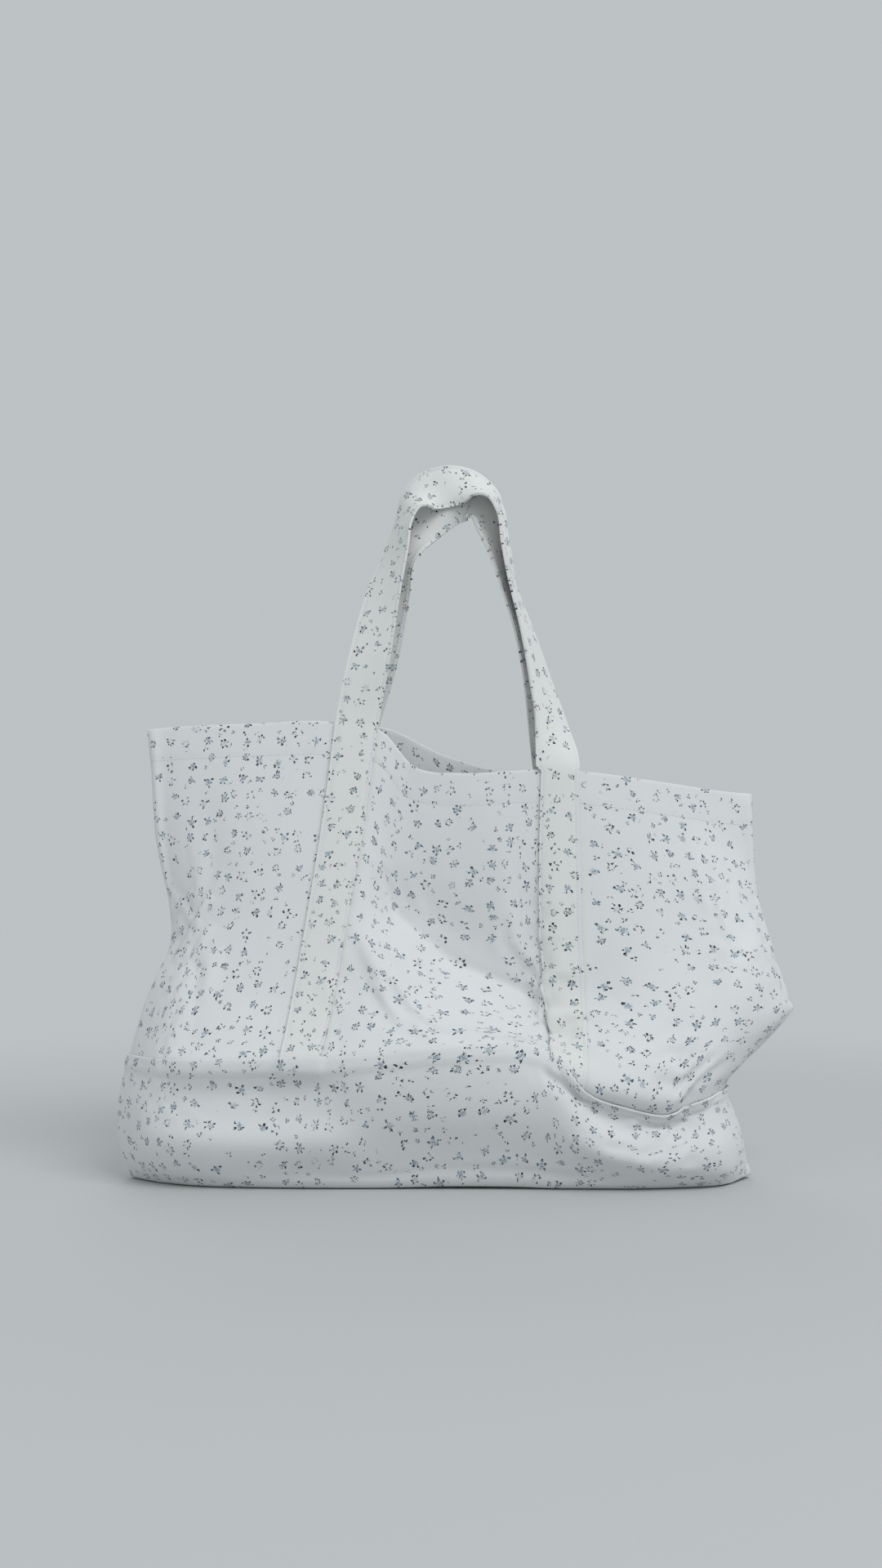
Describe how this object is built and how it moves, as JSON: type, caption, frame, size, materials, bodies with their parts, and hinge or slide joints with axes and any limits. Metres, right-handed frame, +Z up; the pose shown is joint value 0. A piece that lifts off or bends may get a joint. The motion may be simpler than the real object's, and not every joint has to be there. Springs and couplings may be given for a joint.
{
  "type": "canvas tote bag",
  "caption": "Slack printed canvas tote bag with a boxed base wrap and strap handles that run down its panels.",
  "frame": {"origin": "middle of the flat underside of the base, on the surface the bag stands on", "axes": "+Z up; -Y towards the front panel; +X to the right seen from the front"},
  "size_m": [0.5297, 0.1366, 0.5702],
  "materials": {
    "canvas": "plain-weave off-white cotton canvas with a small scattered blue-grey flower print",
    "strap_canvas": "the same printed canvas folded into a flat strap and edge-stitched",
    "sewing_thread": "off-white polyester-cotton sewing thread"
  },
  "bodies": {
    "bag": {"base_wrap": "canvas", "front_panel": "canvas", "back_panel": "canvas", "front_strap_left_leg": "strap_canvas", "front_strap_right_leg": "strap_canvas", "back_strap_left_leg": "strap_canvas", "back_strap_right_leg": "strap_canvas", "front_hem_stitching_left": "sewing_thread", "front_hem_stitching_middle": "sewing_thread", "front_hem_stitching_right": "sewing_thread", "front_wrap_stitching": "sewing_thread", "front_left_strap_stitching": "sewing_thread", "front_right_strap_stitching": "sewing_thread", "back_hem_stitching_left": "sewing_thread", "back_hem_stitching_middle": "sewing_thread", "back_hem_stitching_right": "sewing_thread", "back_wrap_stitching": "sewing_thread", "back_left_strap_stitching": "sewing_thread", "back_right_strap_stitching": "sewing_thread"},
    "front_handle": {"front_handle_loop": "strap_canvas"},
    "back_handle": {"back_handle_loop": "strap_canvas"}
  },
  "joints": [
    {"name": "front_handle_swing", "type": "hinge", "parent": "bag", "child": "front_handle", "pos_m": [0.01953, 0.02331, 0.33601], "axis": [0.9737, -0.0171, -0.2274], "range_deg": [0, 145]},
    {"name": "back_handle_swing", "type": "hinge", "parent": "bag", "child": "back_handle", "pos_m": [0.01952, 0.0698, 0.33421], "axis": [-0.9666, 0.0116, 0.2559], "range_deg": [0, 150]}
  ]
}
